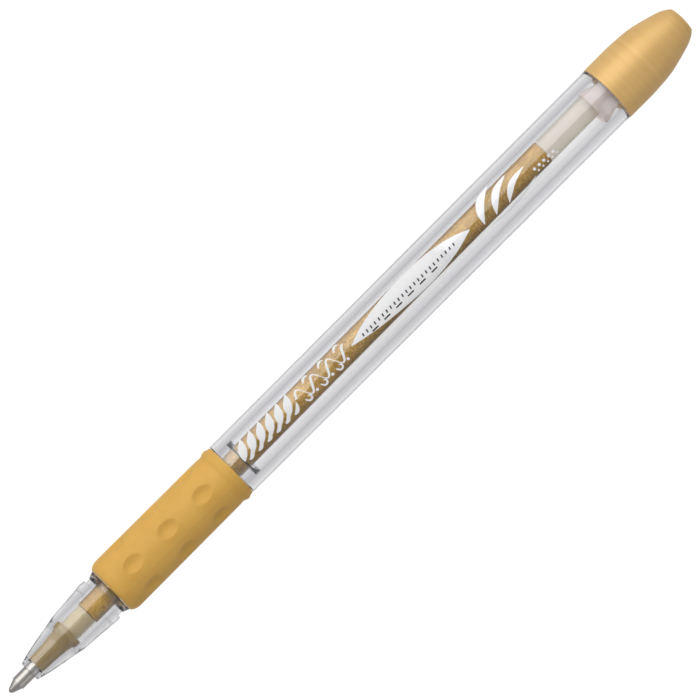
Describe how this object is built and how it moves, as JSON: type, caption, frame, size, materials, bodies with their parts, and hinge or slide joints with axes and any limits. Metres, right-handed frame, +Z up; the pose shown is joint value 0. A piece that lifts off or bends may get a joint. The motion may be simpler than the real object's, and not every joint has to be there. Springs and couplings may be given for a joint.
{
  "type": "gel pen",
  "caption": "Slim capped-type gel pen without its cap: clear barrel and nose cone, dimpled rubber grip, gold end cap and a metallic gold ink refill.",
  "frame": {"origin": "centre of the bounding box, at the height of the surface that the pen lies on", "axes": "+X along the pen from the writing tip to the end cap, +Z up from the surface"},
  "size_m": [0.141, 0.0098, 0.0098],
  "materials": {
    "clear_plastic": "polished clear polystyrene",
    "grip_rubber": "satin moulded rubber",
    "gold_plastic": "satin metallic gold",
    "frosted_plastic": "natural translucent",
    "tip_steel": "turned stainless steel",
    "ball_carbide": "polished tungsten carbide",
    "holder_plastic": "translucent gold tint",
    "tube_plastic": "translucent polypropylene",
    "gold_ink": "metallic gold with fine sparkle",
    "grease": "clear warm grey gel"
  },
  "bodies": {
    "pen": {"barrel": "clear_plastic", "grip": "grip_rubber", "tail_cap": "gold_plastic", "tail_stopper": "frosted_plastic"},
    "nose": {"nose_cone": "clear_plastic"},
    "refill": {"tip_body": "tip_steel", "tip_spring": "tip_steel", "tip_holder": "holder_plastic", "reservoir_tube": "tube_plastic", "ink_column": "gold_ink"},
    "ball": {"writing_ball": "ball_carbide"},
    "valve": {"check_ball": "tip_steel"},
    "follower": {"grease_follower": "grease"}
  },
  "joints": [
    {"name": "nose_cone_draw", "type": "slide", "parent": "pen", "child": "nose", "axis": [-1, 0, 0], "range_m": [0, 0.22]},
    {"name": "refill_draw", "type": "slide", "parent": "pen", "child": "refill", "axis": [-1, -0.0063, 0], "range_m": [0, 0.11]},
    {"name": "writing_ball_roll", "type": "hinge", "parent": "refill", "child": "ball", "pos_m": [-0.0701, -0.00005, 0.00488], "axis": [0, 1, 0], "continuous": true},
    {"name": "check_ball_slide", "type": "slide", "parent": "refill", "child": "valve", "axis": [1, 0.0063, 0], "range_m": [-0.00056, 0.0008]},
    {"name": "follower_slide", "type": "slide", "parent": "refill", "child": "follower", "axis": [-1, -0.0063, 0], "range_m": [0, 0.095], "deforming": ["ink_column"]}
  ],
  "couplings": [
    {"joint": "refill_draw", "follows": "nose_cone_draw", "ratio": 0.5}
  ]
}
